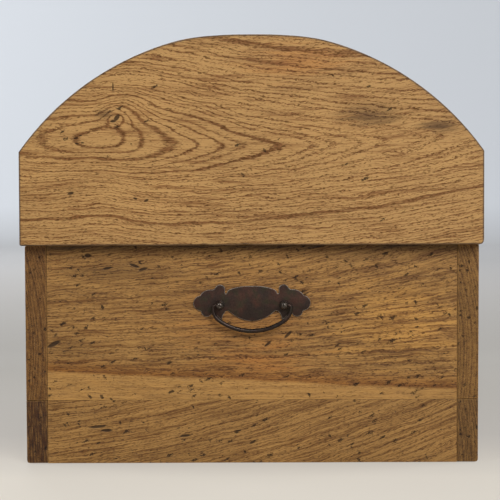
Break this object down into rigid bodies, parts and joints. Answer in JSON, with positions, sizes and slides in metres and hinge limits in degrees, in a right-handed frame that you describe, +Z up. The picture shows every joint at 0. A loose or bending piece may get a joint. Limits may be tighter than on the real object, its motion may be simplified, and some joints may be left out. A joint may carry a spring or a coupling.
{
  "type": "domed chest",
  "caption": "Boarded oak chest with an arched coopered lid on two iron hinges and an iron drop handle on each end.",
  "frame": {"origin": "middle of the box's footprint, on the underside of the middle cleat, where the chest stands", "axes": "+Z up, X along the chest, +Y towards the back, where the hinges are"},
  "size_m": [1.04, 0.5103, 0.4643],
  "materials": {
    "box_oak": "waxed oak",
    "lid_oak": "waxed oak",
    "inner_oak": "dry sawn oak",
    "peg_oak": "end-grain oak pegs",
    "handle_iron": "dark patinated iron",
    "hinge_iron": "dark patinated iron"
  },
  "bodies": {
    "chest": {"back_lower_board": "box_oak", "back_upper_board": "box_oak", "back_wall_pegs": "peg_oak", "cleat_back": "inner_oak", "cleat_front": "inner_oak", "cleat_left": "inner_oak", "cleat_middle": "inner_oak", "cleat_right": "inner_oak", "floor_board_1": "inner_oak", "floor_board_2": "inner_oak", "floor_board_3": "inner_oak", "floor_board_4": "inner_oak", "front_lower_board": "box_oak", "front_upper_board": "box_oak", "front_wall_pegs": "peg_oak", "left_end_lower_board": "box_oak", "left_end_upper_board": "box_oak", "left_handle_nuts": "handle_iron", "left_handle_plate": "handle_iron", "left_handle_post_back": "handle_iron", "left_handle_post_front": "handle_iron", "left_handle_washers": "handle_iron", "left_hinge_pin": "hinge_iron", "left_hinge_wall_leaf": "hinge_iron", "right_end_lower_board": "box_oak", "right_end_upper_board": "box_oak", "right_handle_nuts": "handle_iron", "right_handle_plate": "handle_iron", "right_handle_post_back": "handle_iron", "right_handle_post_front": "handle_iron", "right_handle_washers": "handle_iron", "right_hinge_pin": "hinge_iron", "right_hinge_wall_leaf": "hinge_iron", "wall_leaf_nails": "hinge_iron"},
    "lid": {"left_hinge_lid_leaf": "hinge_iron", "lid_end_left": "lid_oak", "lid_end_right": "lid_oak", "lid_leaf_nails": "hinge_iron", "lid_pegs": "peg_oak", "lid_rib": "lid_oak", "lid_rim_back": "lid_oak", "lid_rim_front": "lid_oak", "lid_stave_back_1": "lid_oak", "lid_stave_back_2": "lid_oak", "lid_stave_back_3": "lid_oak", "lid_stave_front_1": "lid_oak", "lid_stave_front_2": "lid_oak", "lid_stave_front_3": "lid_oak", "lid_stave_top": "lid_oak", "right_hinge_lid_leaf": "hinge_iron"},
    "right_bail": {"right_handle_bail": "handle_iron"},
    "left_bail": {"left_handle_bail": "handle_iron"}
  },
  "joints": [
    {"name": "lid_hinge", "type": "hinge", "parent": "chest", "child": "lid", "pos_m": [0, 0.2553, 0.23815], "axis": [-1, 0, 0], "range_deg": [0, 100]},
    {"name": "right_bail_swing", "type": "hinge", "parent": "chest", "child": "right_bail", "pos_m": [0.51, 0, 0.173], "axis": [0, -1, 0], "range_deg": [-12, 180]},
    {"name": "left_bail_swing", "type": "hinge", "parent": "chest", "child": "left_bail", "pos_m": [-0.51, 0, 0.173], "axis": [0, 1, 0], "range_deg": [-12, 180]}
  ]
}
